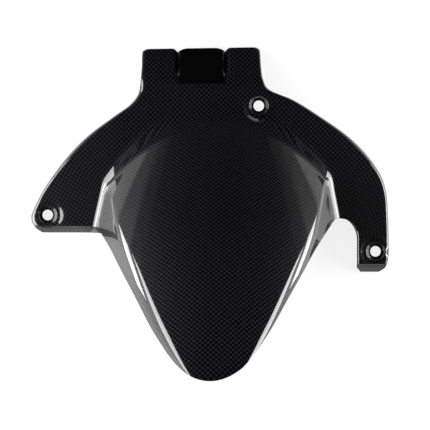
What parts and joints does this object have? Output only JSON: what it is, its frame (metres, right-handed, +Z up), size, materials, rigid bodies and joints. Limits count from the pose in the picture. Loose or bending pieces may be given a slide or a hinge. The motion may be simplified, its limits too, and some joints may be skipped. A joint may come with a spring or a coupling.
{
  "type": "motorcycle rear fender",
  "caption": "Moulded carbon-fibre rear hugger: an arched tongue over the tyre, a flange with a wing, a leg and a folded fluted tab, and dished bolt seats",
  "frame": {"origin": "centre of the bounding box in plan, on the plane that the shell rests on, concave side down", "axes": "+X to the right across the wheel, seen from above with the folded tab away from the viewer; +Y towards the folded tab, which is the front; +Z up, out of the convex side"},
  "size_m": [0.316, 0.2706, 0.1872],
  "materials": {
    "carbon": "clear-coated plain-weave carbon fibre, high gloss"
  },
  "bodies": {
    "root": {"fender_shell": "carbon"}
  },
  "joints": []
}
